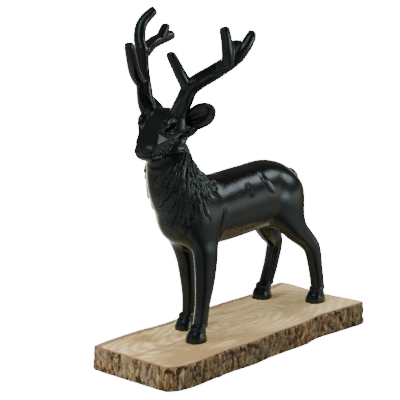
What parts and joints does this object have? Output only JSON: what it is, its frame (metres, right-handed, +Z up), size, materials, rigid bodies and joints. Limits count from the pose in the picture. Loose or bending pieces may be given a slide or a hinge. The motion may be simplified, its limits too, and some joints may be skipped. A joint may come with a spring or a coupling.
{
  "type": "deer figure",
  "caption": "Standing stag figure in black-lacquered cast metal with branching antlers and a carved mane, on a bark-edged slice of wood.",
  "frame": {"origin": "middle of the slice's flat underside", "axes": "+Z up, the stag looks along -Y and its left side is towards +X"},
  "size_m": [0.1055, 0.2426, 0.2746],
  "materials": {
    "black_lacquer": "satin black lacquer over cast metal",
    "barked_wood": "sawn pale wood with rough bark left on its edge"
  },
  "bodies": {
    "root": {"stag_casting": "black_lacquer", "log_slice": "barked_wood"}
  },
  "joints": []
}
